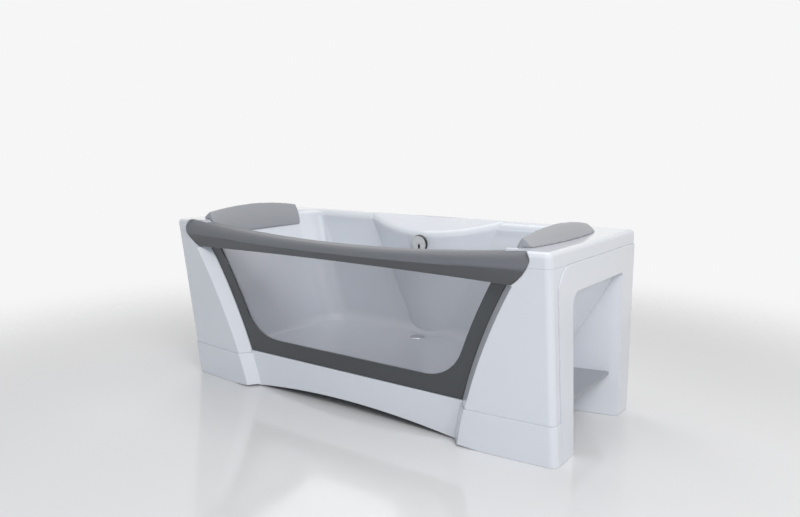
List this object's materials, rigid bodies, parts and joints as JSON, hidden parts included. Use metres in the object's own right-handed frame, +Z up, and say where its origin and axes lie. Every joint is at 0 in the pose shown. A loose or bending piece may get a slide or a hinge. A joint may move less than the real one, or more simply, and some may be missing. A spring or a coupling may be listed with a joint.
{
  "type": "acrylic bathtub",
  "caption": "Free-standing acrylic bathtub with a leaning glass front, dark hand rail, padded headrests and open portal ends with low shelves.",
  "frame": {"origin": "middle of the bath on the floor", "axes": "+X along the bath, -Y towards the glass front, +Z up"},
  "size_m": [1.7, 0.74, 0.7365],
  "materials": {
    "white_acrylic": "glossy sanitary acrylic",
    "board": "raw board",
    "shelf_grey": "satin",
    "dark_frame": "satin dark grey",
    "glass": "clear, slightly grey",
    "seal_rubber": "matte",
    "rail_grey": "satin integral skin foam",
    "steel": "zinc plated",
    "pad_grey": "satin soft foam skin",
    "grommet_plastic": "moulded",
    "frame_paint": "powder coated",
    "chrome": "polished",
    "pipe_plastic": "moulded pipe",
    "cable_black": "sheath"
  },
  "bodies": {
    "tub": {"basin_shell": "white_acrylic", "front_pillar_left": "white_acrylic", "front_pillar_right": "white_acrylic", "front_plinth": "white_acrylic", "end_panel_left": "white_acrylic", "end_panel_right": "white_acrylic", "rear_panel": "white_acrylic", "service_hatch": "white_acrylic", "base_board": "board", "shelf_left": "shelf_grey", "shelf_right": "shelf_grey", "window_frame": "dark_frame", "window_glass": "glass", "window_gasket": "seal_rubber", "waste_seal": "seal_rubber", "overflow_seal": "seal_rubber", "top_rail": "rail_grey", "rail_stiffener": "steel", "rail_screws": "steel", "frame_bolts": "steel", "foot_nuts": "steel", "hatch_screws": "steel", "hatch_straps": "steel", "headrest_grommets": "grommet_plastic", "shelf_pins": "grommet_plastic", "frame_rail_front": "frame_paint", "frame_rail_rear": "frame_paint", "frame_cross_inner_left": "frame_paint", "frame_cross_inner_right": "frame_paint", "frame_cross_outer_left": "frame_paint", "frame_cross_outer_right": "frame_paint", "frame_uprights": "frame_paint", "rim_brackets": "frame_paint", "waste_flange": "chrome", "overflow_collar": "chrome", "waste_body": "pipe_plastic", "trap_nut": "pipe_plastic", "trap_body": "pipe_plastic", "outlet_pipe": "pipe_plastic", "overflow_elbow": "pipe_plastic", "overflow_pipe": "pipe_plastic", "control_cable": "cable_black"},
    "headrest_left": {"headrest_pad_left": "pad_grey", "headrest_pins_left": "steel"},
    "headrest_right": {"headrest_pad_right": "pad_grey", "headrest_pins_right": "steel"},
    "overflow_control": {"overflow_knob": "chrome"},
    "plug": {"waste_plug": "chrome", "plug_seal": "seal_rubber"},
    "foot_front_left": {"foot_stud_front_left": "steel", "foot_pad_front_left": "grommet_plastic"},
    "foot_front_right": {"foot_stud_front_right": "steel", "foot_pad_front_right": "grommet_plastic"},
    "foot_rear_left": {"foot_stud_rear_left": "steel", "foot_pad_rear_left": "grommet_plastic"},
    "foot_rear_right": {"foot_stud_rear_right": "steel", "foot_pad_rear_right": "grommet_plastic"}
  },
  "joints": [
    {"name": "headrest_left_lift", "type": "slide", "parent": "tub", "child": "headrest_left", "axis": [0, 0, 1], "range_m": [0, 0.03]},
    {"name": "headrest_right_lift", "type": "slide", "parent": "tub", "child": "headrest_right", "axis": [0, 0, 1], "range_m": [0, 0.03]},
    {"name": "overflow_turn", "type": "hinge", "parent": "tub", "child": "overflow_control", "pos_m": [0, 0.22707, 0.586], "axis": [0, -0.9929, -0.1187], "range_deg": [0, 90]},
    {"name": "plug_lift", "type": "slide", "parent": "tub", "child": "plug", "axis": [0, 0, 1], "range_m": [0, 0.009]},
    {"name": "foot_front_left_level", "type": "slide", "parent": "tub", "child": "foot_front_left", "axis": [0, 0, -1], "range_m": [0, 0.02]},
    {"name": "foot_front_right_level", "type": "slide", "parent": "tub", "child": "foot_front_right", "axis": [0, 0, -1], "range_m": [0, 0.02]},
    {"name": "foot_rear_left_level", "type": "slide", "parent": "tub", "child": "foot_rear_left", "axis": [0, 0, -1], "range_m": [0, 0.02]},
    {"name": "foot_rear_right_level", "type": "slide", "parent": "tub", "child": "foot_rear_right", "axis": [0, 0, -1], "range_m": [0, 0.02]}
  ],
  "couplings": [
    {"joint": "plug_lift", "follows": "overflow_turn", "m_per_rad": 0.005724}
  ]
}
